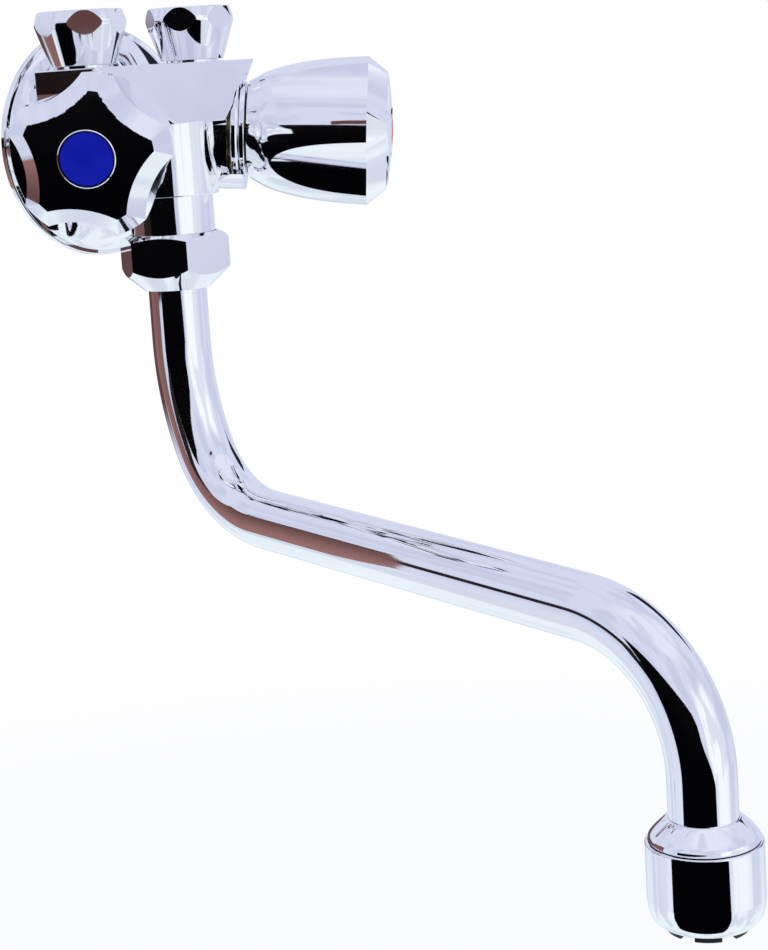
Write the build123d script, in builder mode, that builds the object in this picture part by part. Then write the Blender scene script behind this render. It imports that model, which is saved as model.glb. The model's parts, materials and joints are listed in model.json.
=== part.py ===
from build123d import *
from math import cos, radians, sin, sqrt, tan
import os

os.makedirs("parts", exist_ok=True)

# Wall-mounted low-pressure mixer tap, millimetres.
# Origin: centre of the inlet thread on the wall face. -Y points into the room, +Z up.

# clearances
thread_fit = 0.05  # radial, between screwed pieces
press_fit = 0.02  # radial, between pieces brazed or pressed together
running_fit = 0.08  # radial, shaft in a bore
free_gap = 0.4  # between moving surfaces that must not touch
seat_gap = 0.1  # between faces that close on each other
disc_gap = 0.1  # radial, round the washer and screen in the outlet
insert_gap = 0.3  # radial, round the aerator insert

# axes
spout_y = -35.2  # spout swivel axis in front of the wall
valve_y = -15.4  # where the two valve axes meet
valve_z = 3.8
valve_spread = 45  # each valve axis to either side of straight out
valve_drop = 4.4  # valve axes dip towards the handles
port_x = 21.0  # heater connections to either side
port_y = -24.7  # head of the body
head_half_width = 30.9
head_top = 22.5
head_bottom = 4.4
head_front = -43.2  # front edge of the flat top
head_rear = -12.8
head_corner_radius = 11.5
face_lean = 27  # front face leans back from the vertical
corner_reach = 41.3  # corner flats at the top, from the valve centre
corner_lean = 25  # corner flats lean in under the head
edge_round = 0.6

# valve bosses and pockets, lengths along the valve axis from the valve centre
boss_radius = 16.4
boss_hang = 2.2  # the boss reaches lower than round
boss_end = 32.9
lip_end = 37.6  # tongue below the collar
lip_level = -13.5
pocket_floor = 31.6
pocket_radius = 15.4
pocket_mouth_radius = 16.2
seat_height = 11.8
seat_bore_radius = 5.5
seat_lip_width = 1.5
chamber_floor = 11.0
chamber_radius = 9.3
chamber_end = 16.0

# threads, major radius
half_inch_radius = 20.955 / 2
three_eighth_radius = 16.662 / 2
three_quarter_radius = 26.441 / 2

# wall inlet
inlet_boss_radius = 13.5
inlet_boss_end = -8.2
inlet_length = 14.0  # thread past the wall face
inlet_thread_start = -3.0
inlet_shank_radius = 9.9
inlet_bore_radius = 7.0
waterway_radius = 3.0

# neck
neck_radius = 15.0
neck_step = -17.5
neck_lower_radius = 13.0
neck_thread_top = -30.1
mixing_radius = 7.0
mixing_top = -5.2
neck_end = -39.4
swivel_bore_radius = 11.0
swivel_bore_top = -21.5  # heater ports and their nuts
port_top = 33.2
pipe_radius = 5.0  # 10 mm copper pipe
pipe_gap = 0.15
pipe_stop = 20.5
port_floor = 13.5
port_bore_radius = 4.0
drill_level = 16.5  # cross drillings above the valve bores
nut_lift = 0.8  # dark line between nut and body
nut_foot_radius = 9.85
nut_brow_radius = 14.0
nut_rim_radius = 12.75
nut_brow_height = 12.5
nut_height = 16.4
nut_across_flats = 25.6
nut_turn = (29.3, 7.5)  # how far each nut happens to be turned

# handle, lengths along the valve axis from the valve centre
handle_back = 38.5
handle_back_radius = 15.5
handle_rim = 75.8
handle_rim_radius = 23.2
handle_face = 81.9
handle_lobes = 5
lobe_floor_radius = 18.8
lobe_cut_radius = 23.2
index_radius = 7.5
index_proud = 1.8  # stands out of the handle's face
index_front = handle_face + index_proud
index_depth = 2.6
face_chamfer = 4.6  # across the front, all round the lobes
handle_cavity_radius = 11.0
handle_cavity_end = 50.4
screw_radius = 2.0
screw_head_radius = 4.2
screw_head_height = 2.8
screw_seat = 73.5
screw_foot = 53.5
lobe_turn = (7.75, 32.0)  # rest position of the lobes, cold and hot

# headwork, lengths along the valve axis from the valve centre
bonnet_foot = 17.0
bonnet_flange_radius = 12.0
bonnet_flange_back = 32.7
bonnet_flange_front = 37.2
bonnet_neck_radius = 7.4
bonnet_top = 48.8
guide_across_flats = 13.6
guide_end = 31.0
spindle_radius = 4.0
spindle_flange_radius = 6.3
spindle_flange_width = 2.0
spindle_tip = 64.0
drive_start = 52.6
drive_width = 6.2  # square end under the handle
spindle_foot = 19.3
spindle_thread_radius = 3.75
o_ring_places = (35.4, 39.9)
o_ring_wire = 1.1
clip_radius = 5.6
clip_width = 1.0
collar_radius = 14.8
collar_back = 33.8
collar_front = 38.1
washer_radius = 6.5
washer_thickness = 2.4
plunger_end = 24.5
turns_open = 2
lift = 4.0

# spout
tube_radius = 9.0
tube_wall = 1.0
bend_start = -62.2
bend_easy_radius = 78.5
bend_easy_angle = 26.4
bend_tight_radius = 33.5
spout_slope = 4.2
outlet_bend_radius = 38.9
reach = 196.5  # swivel axis to outlet axis
outlet_z = -173.6
swivel_flange_radius = 12.2
swivel_flange_height = 2.2
slide_ring_height = 1.0
spout_nut_top = -28.9
spout_nut_bottom = -46.1
spout_nut_across_flats = 30.5
spout_nut_turn = 3.6

# outlet
housing_radius = 15.1
housing_wall = 3.1
housing_top = -179.6
housing_bottom = -201.4
adapter_thread_radius = housing_radius - housing_wall
adapter_end = -187.6
insert_radius = adapter_thread_radius - insert_gap
insert_bottom = -203.0
mouth_radius = adapter_thread_radius - disc_gap
tooth_count = 12

# rosette
rosette_radius = 36.3
rosette_height = 7.8
rosette_lip = 2.0
rosette_step = 1.6
rosette_sheet = 0.9


def save(piece, name):
    piece.label = name
    export_step(piece, f"parts/{name}.step")


def cross_plane(side):
    """plane square to one valve axis, local Z pointing out along it"""
    out = Vector(
        side * sin(radians(valve_spread)) * cos(radians(valve_drop)),
        -cos(radians(valve_spread)) * cos(radians(valve_drop)),
        -sin(radians(valve_drop)),
    )
    across = Vector(cos(radians(valve_spread)), side * sin(radians(valve_spread)), 0)
    return Plane(origin=(0, valve_y, valve_z), x_dir=across, z_dir=out)


def section_plane(cross):
    """plane through an axis: local X is the radius, local Y runs along the axis"""
    return Plane(origin=cross.origin, x_dir=cross.x_dir, z_dir=-cross.y_dir)


def turned(section, points):
    """solid of revolution from (radius, length) points"""
    with BuildPart() as piece:
        with BuildSketch(section):
            with BuildLine():
                Polyline(*points, close=True)
            make_face()
        revolve(axis=Axis(section.origin, section.y_dir))
    return piece.part


def rings(section, centre_radius, places, wire):
    """round rings of a given wire thickness about an axis"""
    with BuildPart() as piece:
        with BuildSketch(section):
            with Locations(*[(centre_radius, place) for place in places]):
                Circle(wire / 2)
        revolve(axis=Axis(section.origin, section.y_dir))
    return piece.part


crosses = {"cold": cross_plane(-1), "hot": cross_plane(1)}
sections = {side: section_plane(cross) for side, cross in crosses.items()}
upright = Plane(origin=(0, spout_y, 0), x_dir=(1, 0, 0), z_dir=(0, -1, 0))


# The casting: a flat-topped head with a leaning front, two valve bosses, a neck and the wall inlet
face_plane = Plane(
    origin=(0, head_front, head_top),
    x_dir=(1, 0, 0),
    z_dir=(0, -cos(radians(face_lean)), sin(radians(face_lean))),
)
head_depth = -head_front + (head_top - head_bottom) * tan(radians(face_lean))

with BuildPart() as head:
    with BuildSketch(Plane.XZ.offset(head_depth + 1)):
        with Locations((0, head_top)):
            Rectangle(2 * head_half_width, head_top - head_bottom, align=(Align.CENTER, Align.MAX))
        fillet(vertices().group_by(Axis.Y)[0], head_corner_radius)
    extrude(amount=-(head_depth + 1 + head_rear))
    split(bisect_by=face_plane, keep=Keep.BOTTOM)
    fillet(edges().filter_by(Axis.Z).group_by(Axis.Y)[-1], 2 * edge_round)
    fillet(edges().group_by(Axis.Z)[-1], edge_round)
    for side in (-1, 1):
        flat = Vector(side * sin(radians(valve_spread)), -cos(radians(valve_spread)), 0)
        corner = Vector(0, valve_y, head_top) + flat * corner_reach
        under = flat * cos(radians(corner_lean)) - Vector(0, 0, sin(radians(corner_lean)))
        split(bisect_by=Plane(origin=corner, z_dir=under), keep=Keep.BOTTOM)

with BuildPart() as body:
    for cross in crosses.values():
        with BuildSketch(cross):
            with Locations((0, 0), (0, -boss_hang)):
                Circle(boss_radius)
        extrude(amount=boss_end)
        with BuildSketch(cross):
            with Locations((0, -boss_hang)):
                Circle(boss_radius)
            with Locations((0, lip_level)):
                Rectangle(
                    2 * boss_radius,
                    2 * boss_radius,
                    align=(Align.CENTER, Align.MAX),
                    mode=Mode.INTERSECT,
                )
        extrude(amount=lip_end)
    split(bisect_by=Plane.XZ.offset(-head_rear), keep=Keep.TOP)
    add(head)
    with BuildSketch(Plane.XZ.offset(-valve_y)):
        Circle(inlet_boss_radius)
    extrude(amount=valve_y - inlet_boss_end)
    for radius, start, end in (
        (inlet_shank_radius, -inlet_length, -valve_y),
        (half_inch_radius, -inlet_length, -inlet_thread_start),
    ):
        with BuildSketch(Plane.XZ.offset(start)):
            Circle(radius)
        extrude(amount=end - start)
    with BuildSketch(upright):
        with BuildLine():
            Polyline(
                (0, head_bottom),
                (neck_radius, head_bottom),
                (neck_radius, neck_step),
                (neck_lower_radius, neck_step),
                (neck_lower_radius, neck_thread_top),
                (three_quarter_radius, neck_thread_top),
                (three_quarter_radius, neck_end),
                (0, neck_end),
                close=True,
            )
        make_face()
    revolve(axis=Axis((0, spout_y, 0), (0, 0, 1)))
    with BuildSketch(Plane.XY.offset(head_top)):
        with Locations((-port_x, port_y), (port_x, port_y)):
            Circle(three_eighth_radius)
    extrude(amount=port_top - head_top)
    # pockets behind the handles, then the stepped bores with their raised seats
    for section in sections.values():
        with BuildSketch(section):
            with BuildLine():
                Polyline(
                    (0, pocket_floor),
                    (pocket_radius, pocket_floor),
                    (pocket_mouth_radius, corner_reach + 2),
                    (0, corner_reach + 2),
                    close=True,
                )
            make_face()
            with BuildLine():
                Polyline(
                    (0, 0),
                    (seat_bore_radius, 0),
                    (seat_bore_radius, seat_height),
                    (seat_bore_radius + seat_lip_width, seat_height),
                    (seat_bore_radius + seat_lip_width, chamber_floor),
                    (chamber_radius, chamber_floor),
                    (chamber_radius, chamber_end),
                    (half_inch_radius + thread_fit, chamber_end),
                    (half_inch_radius + thread_fit, boss_end),
                    (0, boss_end),
                    close=True,
                )
            make_face()
        revolve(axis=Axis(section.origin, section.y_dir), mode=Mode.SUBTRACT)
    # neck bore for the swivel and the mixing chamber above it
    with BuildSketch(Plane.XY.offset(neck_end)):
        with Locations((0, spout_y)):
            Circle(swivel_bore_radius)
    extrude(amount=swivel_bore_top - neck_end, mode=Mode.SUBTRACT)
    with BuildSketch(Plane.XY.offset(swivel_bore_top)):
        with Locations((0, spout_y)):
            Circle(mixing_radius)
    extrude(amount=mixing_top - swivel_bore_top, mode=Mode.SUBTRACT)
    # heater ports: a socket for the pipe and a smaller bore below it
    for radius, low in ((pipe_radius + pipe_gap, pipe_stop), (port_bore_radius, port_floor)):
        with BuildSketch(Plane.XY.offset(port_top)):
            with Locations((-port_x, port_y), (port_x, port_y)):
                Circle(radius)
        extrude(amount=low - port_top, mode=Mode.SUBTRACT)
    # wall inlet
    with BuildSketch(Plane.XZ.offset(-inlet_length)):
        Circle(inlet_bore_radius)
    extrude(amount=inlet_length - inlet_boss_end, mode=Mode.SUBTRACT)
    # drilled waterways: cold chamber to neck, hot chamber to its port, return port to neck
    chamber_mid = (chamber_floor + chamber_end) / 2
    cold_chamber = crosses["cold"].origin + crosses["cold"].z_dir * chamber_mid
    hot_chamber = crosses["hot"].origin + crosses["hot"].z_dir * chamber_mid
    hot_riser = Vector(hot_chamber.X, hot_chamber.Y, drill_level)
    mixing_chamber = Vector(0, spout_y, mixing_top - waterway_radius)
    return_fall = Vector(0, spout_y + waterway_radius, drill_level)
    drillings = (
        (Vector(0, inlet_boss_end, 0), Vector(0, valve_y, valve_z)),
        (cold_chamber, mixing_chamber),
        (hot_chamber, hot_riser),
        (hot_riser, Vector(port_x, port_y, drill_level)),
        (Vector(-port_x, port_y, drill_level), return_fall),
        (return_fall, mixing_chamber),
    )
    for start, end in drillings:
        with BuildSketch(Plane(origin=start, z_dir=end - start)):
            Circle(waterway_radius)
        extrude(amount=(end - start).length, mode=Mode.SUBTRACT)

save(body.part, "body")


# One valve: headwork, rising plunger with its washer, spindle, collar and handle
def make_bonnet(cross, section):
    with BuildPart() as bonnet:
        with BuildSketch(section):
            with BuildLine():
                Polyline(
                    (spindle_radius + running_fit, bonnet_foot),
                    (half_inch_radius, bonnet_foot),
                    (half_inch_radius, bonnet_flange_back),
                    (bonnet_flange_radius, bonnet_flange_back),
                    (bonnet_flange_radius, bonnet_flange_front),
                    (bonnet_neck_radius, bonnet_flange_front),
                    (bonnet_neck_radius, bonnet_top - 0.6),
                    (bonnet_neck_radius - 0.6, bonnet_top),
                    (spindle_radius + running_fit, bonnet_top),
                    close=True,
                )
            make_face()
        revolve(axis=Axis(section.origin, section.y_dir))
        with BuildSketch(cross.offset(bonnet_foot)):
            RegularPolygon(guide_across_flats / 2, 6, major_radius=False)
        extrude(amount=guide_end - bonnet_foot, mode=Mode.SUBTRACT)
    return bonnet.part


def make_spindle(cross, section):
    flange_front = guide_end - 0.15
    flange_back = flange_front - spindle_flange_width
    groove_radius = spindle_radius - o_ring_wire
    with BuildPart() as spindle:
        with BuildSketch(section):
            with BuildLine():
                Polyline(
                    (0, spindle_foot),
                    (spindle_thread_radius, spindle_foot),
                    (spindle_thread_radius, flange_back),
                    (spindle_flange_radius, flange_back),
                    (spindle_flange_radius, flange_front),
                    (spindle_radius, flange_front),
                    (spindle_radius, spindle_tip - 0.6),
                    (spindle_radius - 0.6, spindle_tip),
                    (0, spindle_tip),
                    close=True,
                )
            make_face()
        revolve(axis=Axis(section.origin, section.y_dir))
        # grooves for the seal rings and the clip
        clip_back = bonnet_top + seat_gap
        grooves = [(place - o_ring_wire / 2 - 0.05, o_ring_wire + 0.1) for place in o_ring_places]
        grooves.append((clip_back, clip_width))
        for start, width in grooves:
            with BuildSketch(cross.offset(start)):
                Circle(spindle_radius + 1)
                Circle(groove_radius, mode=Mode.SUBTRACT)
            extrude(amount=width, mode=Mode.SUBTRACT)
        # square drive and tapped hole
        with BuildSketch(cross.offset(drive_start)):
            Circle(spindle_radius + 1)
            Rectangle(drive_width, drive_width, mode=Mode.SUBTRACT)
        extrude(amount=spindle_tip - drive_start, mode=Mode.SUBTRACT)
        with BuildSketch(cross.offset(screw_foot - 0.5)):
            Circle(screw_radius + thread_fit)
        extrude(amount=spindle_tip - screw_foot + 0.5, mode=Mode.SUBTRACT)
    return spindle.part


def make_clip(cross):
    with BuildPart() as clip:
        with BuildSketch(cross.offset(bonnet_top + seat_gap)):
            Circle(clip_radius)
            Circle(spindle_radius - o_ring_wire + press_fit, mode=Mode.SUBTRACT)
            with Locations((clip_radius, 0)):
                Rectangle(2 * clip_radius, spindle_radius, mode=Mode.SUBTRACT)
        extrude(amount=clip_width)
    return clip.part


def make_plunger(cross):
    washer_back = seat_height + seat_gap
    washer_front = washer_back + washer_thickness
    with BuildPart() as plunger:
        with BuildSketch(cross.offset(washer_front)):
            RegularPolygon(guide_across_flats / 2 - 0.15, 6, major_radius=False)
        extrude(amount=plunger_end - washer_front)
        with BuildSketch(cross.offset(washer_back + 0.4)):
            Circle(2.5)
        extrude(amount=washer_front - washer_back)
        with BuildSketch(cross.offset(washer_front + 0.8)):
            Circle(spindle_thread_radius + free_gap)
        extrude(amount=plunger_end - washer_front, mode=Mode.SUBTRACT)
    return plunger.part


def make_seat_washer(cross):
    with BuildPart() as washer:
        with BuildSketch(cross.offset(seat_height + seat_gap)):
            Circle(washer_radius)
            Circle(2.5 + thread_fit, mode=Mode.SUBTRACT)
        extrude(amount=washer_thickness)
    return washer.part


def make_collar(section):
    inner = bonnet_flange_radius + press_fit
    middle = (collar_back + collar_front) / 2
    with BuildPart() as collar:
        with BuildSketch(section):
            with BuildLine():
                Polyline(
                    (inner, collar_back),
                    (collar_radius - 0.5, collar_back),
                    (collar_radius, collar_back + 0.5),
                    (collar_radius, middle - 0.6),
                    (collar_radius - 0.4, middle),
                    (collar_radius, middle + 0.6),
                    (collar_radius, collar_front - 0.5),
                    (collar_radius - 0.5, collar_front),
                    (inner, collar_front),
                    close=True,
                )
            make_face()
        revolve(axis=Axis(section.origin, section.y_dir))
    return collar.part


def make_bonnet_seal(cross):
    with BuildPart() as seal:
        with BuildSketch(cross.offset(pocket_floor)):
            Circle(bonnet_flange_radius + 0.6)
            Circle(half_inch_radius + thread_fit, mode=Mode.SUBTRACT)
        extrude(amount=bonnet_flange_back - pocket_floor)
    return seal.part


def lobe_outline(plane, inset, first_lobe):
    """lobed outline of the handle, drawn in by an even inset"""
    with BuildSketch(plane) as outline:
        Circle(handle_rim_radius - inset)
        with PolarLocations(
            lobe_floor_radius + lobe_cut_radius, handle_lobes, first_lobe + 180 / handle_lobes
        ):
            Circle(lobe_cut_radius + inset, mode=Mode.SUBTRACT)
    return outline.sketch


def make_handle(cross, section, first_lobe):
    dome_rise = index_proud - 0.3
    dome_radius = handle_rim_radius - face_chamfer + 0.2
    rim_outline = lobe_outline(cross.offset(handle_rim), 0, first_lobe)
    face_outline = lobe_outline(cross.offset(handle_face), face_chamfer, first_lobe)
    with BuildPart() as barrel:
        with BuildSketch(section):
            with BuildLine():
                Line((0, handle_back), (handle_back_radius - 1.5, handle_back))
                Line((handle_back_radius - 1.5, handle_back), (handle_back_radius, handle_back + 1.2))
                Spline(
                    (handle_back_radius, handle_back + 1.2),
                    (18.5, 45.6),
                    (21.0, 55.1),
                    (22.4, 64.8),
                    (handle_rim_radius, handle_rim),
                )
                Polyline((handle_rim_radius, handle_rim), (0, handle_rim), (0, handle_back))
            make_face()
        revolve(axis=Axis(section.origin, section.y_dir))
        # the hollows between the lobes run out where the barrel narrows towards the back
        extrude(rim_outline, amount=handle_back - handle_rim, mode=Mode.INTERSECT)
    with BuildPart() as dome:
        extrude(face_outline, amount=dome_rise + 0.5)
        with BuildSketch(section):
            with BuildLine():
                Polyline(
                    (0, handle_face + dome_rise),
                    (0, handle_face - 1),
                    (dome_radius, handle_face - 1),
                    (dome_radius, handle_face),
                )
                TangentArc((0, handle_face + dome_rise), (dome_radius, handle_face), tangent=(1, 0))
            make_face()
        revolve(axis=Axis(section.origin, section.y_dir), mode=Mode.INTERSECT)
    with BuildPart() as knob:
        add(barrel)
        loft([rim_outline, face_outline], ruled=True)
        add(dome)
        index_floor = index_front - index_depth
        for radius, start, end in (
            (handle_cavity_radius, handle_back, handle_cavity_end),
            (spindle_radius + running_fit, handle_cavity_end, drive_start),
            (screw_radius + 0.3, spindle_tip, screw_seat),
            (screw_head_radius + 0.4, screw_seat, index_floor),
            (index_radius + 0.1, index_floor, index_front + 1),
        ):
            with BuildSketch(cross.offset(start)):
                Circle(radius)
            extrude(amount=end - start, mode=Mode.SUBTRACT)
        with BuildSketch(cross.offset(drive_start)):
            Rectangle(drive_width + 2 * thread_fit, drive_width + 2 * thread_fit)
        extrude(amount=spindle_tip + 0.5 - drive_start, mode=Mode.SUBTRACT)
    return knob.part


def make_handle_screw(cross, section):
    with BuildPart() as screw:
        with BuildSketch(section):
            with BuildLine():
                Polyline(
                    (0, screw_foot),
                    (screw_radius, screw_foot),
                    (screw_radius, screw_seat),
                    (screw_head_radius, screw_seat),
                    (screw_head_radius, screw_seat + screw_head_height - 0.5),
                    (screw_head_radius - 0.5, screw_seat + screw_head_height),
                    (0, screw_seat + screw_head_height),
                    close=True,
                )
            make_face()
        revolve(axis=Axis(section.origin, section.y_dir))
        with BuildSketch(cross.offset(screw_seat + screw_head_height)):
            Rectangle(4.6, 1.1)
            Rectangle(1.1, 4.6)
        extrude(amount=-1.4, mode=Mode.SUBTRACT)
    return screw.part


def make_index(section):
    floor = index_front - index_depth
    with BuildPart() as index:
        with BuildSketch(section):
            with BuildLine():
                Polyline((0, floor + press_fit), (index_radius, floor + press_fit))
                Line((index_radius, floor + press_fit), (index_radius, index_front - 0.7))
                TangentArc((0, index_front), (index_radius, index_front - 0.7), tangent=(1, 0))
                Line((0, index_front), (0, floor + press_fit))
            make_face()
        revolve(axis=Axis(section.origin, section.y_dir))
    return index.part


for side, first_lobe in zip(("cold", "hot"), lobe_turn):
    cross, section = crosses[side], sections[side]
    save(make_bonnet(cross, section), f"{side}_bonnet")
    save(make_bonnet_seal(cross), f"{side}_bonnet_seal")
    save(make_collar(section), f"{side}_collar")
    save(make_spindle(cross, section), f"{side}_spindle")
    ring_radius = spindle_radius - o_ring_wire / 2 + press_fit
    save(rings(section, ring_radius, o_ring_places, o_ring_wire), f"{side}_spindle_o_rings")
    save(make_clip(cross), f"{side}_spindle_clip")
    save(make_plunger(cross), f"{side}_plunger")
    save(make_seat_washer(cross), f"{side}_seat_washer")
    save(make_handle(cross, section, first_lobe), f"{side}_handle")
    save(make_handle_screw(cross, section), f"{side}_handle_screw")
    save(make_index(section), f"{side}_index")


# Heater pipe nuts and their olives
pipe_nut_base = head_top + nut_lift
pipe_nut_top = pipe_nut_base + nut_height
olive_bottom = port_top + 0.1
olive_top = pipe_nut_top - 2.9


def make_pipe_nut(x, turn):
    axis_plane = Plane(origin=(x, port_y, 0), x_dir=(1, 0, 0), z_dir=(0, -1, 0))
    with BuildPart() as nut:
        with BuildSketch(axis_plane):
            with BuildLine():
                Polyline(
                    (0, pipe_nut_base),
                    (nut_foot_radius, pipe_nut_base),
                    (nut_brow_radius, pipe_nut_base + nut_brow_height),
                    (nut_rim_radius, pipe_nut_top),
                    (0, pipe_nut_top),
                    close=True,
                )
            make_face()
            fillet(vertices().sort_by(Axis.X)[-1], 3.0)
            fillet(vertices().group_by(Axis.Y)[-1].sort_by(Axis.X)[-1], 0.6)
        revolve(axis=Axis(axis_plane.origin, (0, 0, 1)))
        # wrench flats that only bite where the cone is wide
        with BuildSketch(Plane.XY.offset(pipe_nut_base)):
            with Locations((x, port_y)):
                RegularPolygon(nut_across_flats / 2, 6, major_radius=False, rotation=turn)
        extrude(amount=nut_height, mode=Mode.INTERSECT)
        for radius, start, end in (
            (three_eighth_radius + thread_fit, pipe_nut_base, olive_top + 0.3),
            (pipe_radius + 0.35, olive_top, pipe_nut_top),
        ):
            with BuildSketch(Plane.XY.offset(start)):
                with Locations((x, port_y)):
                    Circle(radius)
            extrude(amount=end - start, mode=Mode.SUBTRACT)
    return nut.part


def make_olive(x):
    bore = pipe_radius + pipe_gap
    axis_plane = Plane(origin=(x, port_y, 0), x_dir=(1, 0, 0), z_dir=(0, -1, 0))
    return turned(
        axis_plane,
        (
            (bore, olive_bottom),
            (bore + 1.4, olive_bottom),
            (bore + 2.6, olive_bottom + 1.5),
            (bore + 1.2, olive_top),
            (bore, olive_top),
        ),
    )


for name, x, turn in (("left", -port_x, nut_turn[0]), ("right", port_x, nut_turn[1])):
    save(make_pipe_nut(x, turn), f"{name}_pipe_nut")
    save(make_olive(x), f"{name}_olive")

# Spout: one bent tube in the plane square to the wall
rise = radians(90 - spout_slope)
easy = radians(bend_easy_angle)
bends_reach = (
    bend_easy_radius * (1 - cos(easy))
    + bend_tight_radius * (cos(easy) - cos(rise))
    + outlet_bend_radius * (1 - cos(rise))
)
limb_length = (reach - bends_reach) / sin(rise)
tube_top = swivel_bore_top - 1
tube_end = adapter_end + 1
limb_plane = Plane(origin=(0, spout_y, 0), x_dir=(0, -1, 0), z_dir=(-1, 0, 0))

with BuildPart() as spout_tube:
    with BuildLine(limb_plane) as route:
        inlet_limb = Line((0, tube_top), (0, bend_start))
        easy_bend = JernArc(inlet_limb @ 1, inlet_limb % 1, bend_easy_radius, bend_easy_angle)
        tight_bend = JernArc(
            easy_bend @ 1, easy_bend % 1, bend_tight_radius, 90 - spout_slope - bend_easy_angle
        )
        limb = Line(tight_bend @ 1, tight_bend @ 1 + (tight_bend % 1) * limb_length)
        outlet_bend = JernArc(limb @ 1, limb % 1, outlet_bend_radius, spout_slope - 90)
        Line(outlet_bend @ 1, outlet_bend @ 1 + Vector(0, 0, tube_end) - Vector(0, 0, (outlet_bend @ 1).Z))
    with BuildSketch(Plane(origin=(0, spout_y, tube_top), z_dir=(0, 0, -1))):
        Circle(tube_radius)
        Circle(tube_radius - tube_wall, mode=Mode.SUBTRACT)
    sweep()
save(spout_tube.part, "spout_tube")

# Swivel: bush brazed on the tube, its seal rings, slide ring and union nut
bush_radius = swivel_bore_radius - running_fit
swivel_ring_wire = 1.0
swivel_ring_places = (-27.5, -33.5)
flange_top = neck_end - seat_gap
flange_bottom = flange_top - swivel_flange_height
slide_ring_top = flange_bottom - seat_gap / 2
slide_ring_bottom = slide_ring_top - slide_ring_height

with BuildPart() as spout_bush:
    with BuildSketch(upright):
        with BuildLine():
            Polyline(
                (tube_radius + press_fit, tube_top - 0.5),
                (bush_radius, tube_top - 0.5),
                (bush_radius, flange_top),
                (swivel_flange_radius, flange_top),
                (swivel_flange_radius, flange_bottom),
                (tube_radius + press_fit, flange_bottom),
                close=True,
            )
        make_face()
        groove_floor = bush_radius - swivel_ring_wire
        with Locations(*[((bush_radius + groove_floor) / 2 + 0.5, place) for place in swivel_ring_places]):
            Rectangle(swivel_ring_wire + 1, swivel_ring_wire + 0.2, mode=Mode.SUBTRACT)
    revolve(axis=Axis(upright.origin, (0, 0, 1)))
save(spout_bush.part, "spout_bush")

ring_centre = groove_floor + swivel_ring_wire / 2 + press_fit
save(rings(upright, ring_centre, swivel_ring_places, swivel_ring_wire), "spout_o_rings")

with BuildPart() as slide_ring:
    with BuildSketch(Plane.XY.offset(slide_ring_bottom)):
        with Locations((0, spout_y)):
            Circle(swivel_flange_radius)
            Circle(tube_radius + free_gap, mode=Mode.SUBTRACT)
    extrude(amount=slide_ring_height)
save(slide_ring.part, "spout_slide_ring")

nut_corner_radius = spout_nut_across_flats / sqrt(3)
with BuildPart() as spout_nut:
    with BuildSketch(Plane.XY.offset(spout_nut_bottom)):
        with Locations((0, spout_y)):
            RegularPolygon(spout_nut_across_flats / 2, 6, major_radius=False, rotation=spout_nut_turn)
    extrude(amount=spout_nut_top - spout_nut_bottom)
    with BuildSketch(upright):
        with BuildLine():
            Polyline(
                (0, spout_nut_top),
                (three_quarter_radius + 0.4, spout_nut_top),
                (nut_corner_radius, spout_nut_top - 1.9),
                (nut_corner_radius, spout_nut_bottom + 6.6),
                (tube_radius + 1.2, spout_nut_bottom),
                (0, spout_nut_bottom),
                close=True,
            )
        make_face()
    revolve(axis=Axis(upright.origin, (0, 0, 1)), mode=Mode.INTERSECT)
    nut_shoulder = slide_ring_bottom - seat_gap
    for radius, start, end in (
        (three_quarter_radius + thread_fit, spout_nut_top, neck_end),
        (swivel_flange_radius + free_gap, neck_end, nut_shoulder),
        (tube_radius + free_gap, nut_shoulder, spout_nut_bottom),
    ):
        with BuildSketch(Plane.XY.offset(start)):
            with Locations((0, spout_y)):
                Circle(radius)
        extrude(amount=end - start, mode=Mode.SUBTRACT)
save(spout_nut.part, "spout_nut")

# Outlet: cone brazed on the tube, screwed housing, flat seal, screen and toothed insert
outlet_section = Plane(origin=(0, spout_y - reach, 0), x_dir=(1, 0, 0), z_dir=(0, -1, 0))
outlet_centre = (0, spout_y - reach)
washer_top = adapter_end - seat_gap
washer_bottom = washer_top - 1.3
screen_top = washer_bottom - seat_gap
screen_bottom = screen_top - 0.6
insert_top = screen_bottom - seat_gap
insert_foot = housing_bottom + 2.2

outlet_cone = turned(
    outlet_section,
    (
        (tube_radius + press_fit, outlet_z),
        (tube_radius + 0.5, outlet_z),
        (housing_radius - 0.7, housing_top + 0.3),
        (housing_radius - 0.7, housing_top + 0.1),
        (adapter_thread_radius, housing_top + 0.1),
        (adapter_thread_radius, adapter_end),
        (tube_radius + press_fit, adapter_end),
    ),
)
save(outlet_cone, "outlet_cone")

with BuildPart() as aerator_housing:
    with BuildSketch(outlet_section):
        with BuildLine():
            Polyline(
                (adapter_thread_radius + thread_fit, housing_top),
                (housing_radius - 0.5, housing_top),
                (housing_radius, housing_top - 0.5),
                (housing_radius, housing_bottom + 4.5),
                (housing_radius - 0.5, housing_bottom + 2.2),
                (housing_radius - 1.9, housing_bottom + 0.4),
                (housing_radius - 2.9, housing_bottom),
                (mouth_radius - 0.9, housing_bottom),
                (mouth_radius - 0.9, insert_foot - seat_gap),
                (adapter_thread_radius + thread_fit, insert_foot - seat_gap),
                close=True,
            )
        make_face()
    revolve(axis=Axis(outlet_section.origin, (0, 0, 1)))
save(aerator_housing.part, "aerator_housing")

with BuildPart() as aerator_washer:
    with BuildSketch(Plane.XY.offset(washer_bottom)):
        with Locations(outlet_centre):
            Circle(mouth_radius)
            Circle(tube_radius - tube_wall, mode=Mode.SUBTRACT)
    extrude(amount=washer_top - washer_bottom)
save(aerator_washer.part, "aerator_washer")

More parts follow.
